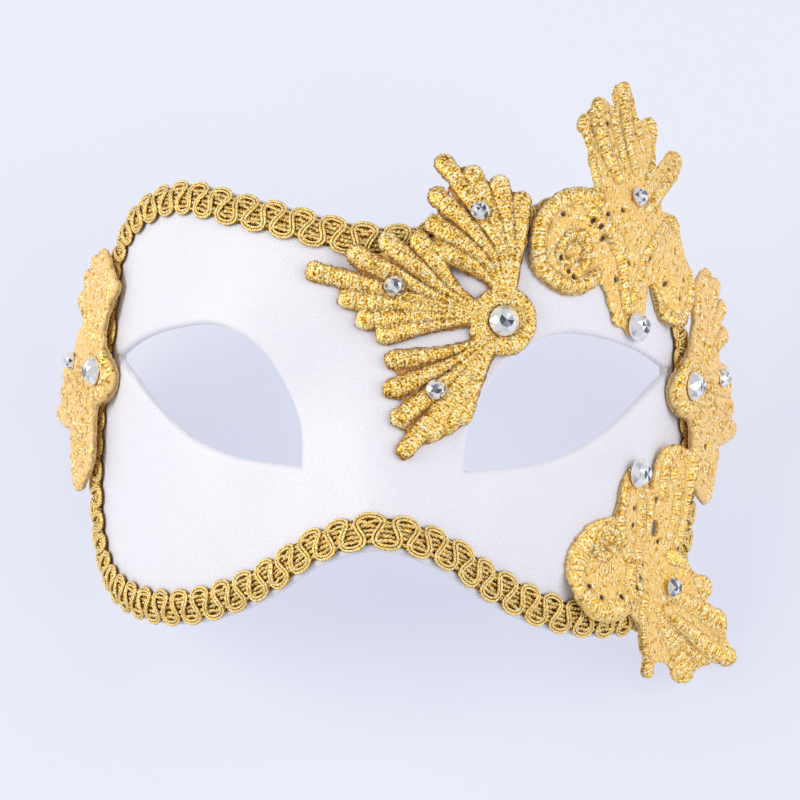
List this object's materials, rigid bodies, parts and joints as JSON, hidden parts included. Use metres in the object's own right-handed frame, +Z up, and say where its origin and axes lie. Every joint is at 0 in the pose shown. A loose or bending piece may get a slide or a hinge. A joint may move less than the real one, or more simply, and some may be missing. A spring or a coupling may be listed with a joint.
{
  "type": "colombina mask",
  "caption": "Venetian half mask in white satin with an antique-gold braid rim, gold lace motifs and clear flat-back stones.",
  "frame": {"origin": "middle of the bounding box, on the surface that the mask lies on", "axes": "+X across the face towards the right of the picture, +Y towards the brow, +Z up, out of the face as it lies face up"},
  "size_m": [0.1748, 0.14, 0.0784],
  "materials": {
    "satin": "white satin with a soft sheen",
    "shell": "off-white moulded shell, matt",
    "braid": "antique-gold metallic gimp braid",
    "lace": "gold metallic embroidered lace",
    "stone": "foil-backed faceted clear glass"
  },
  "bodies": {
    "root": {"mask_shell": "shell", "satin_cover": "satin", "gimp_braid": "braid", "lace_centre": "lace", "lace_upper_scroll": "lace", "lace_lower_scroll": "lace", "lace_temple_right": "lace", "lace_temple_left": "lace", "rhinestone_centre_ring": "stone", "rhinestone_centre_fan_1": "stone", "rhinestone_centre_fan_2": "stone", "rhinestone_centre_fan_3": "stone", "rhinestone_upper_strap": "stone", "rhinestone_upper_leaf": "stone", "rhinestone_lower_strap": "stone", "rhinestone_lower_leaf": "stone", "rhinestone_temple_right_ring": "stone", "rhinestone_temple_right_fan": "stone", "rhinestone_temple_left_ring": "stone", "rhinestone_temple_left_fan": "stone"}
  },
  "joints": []
}
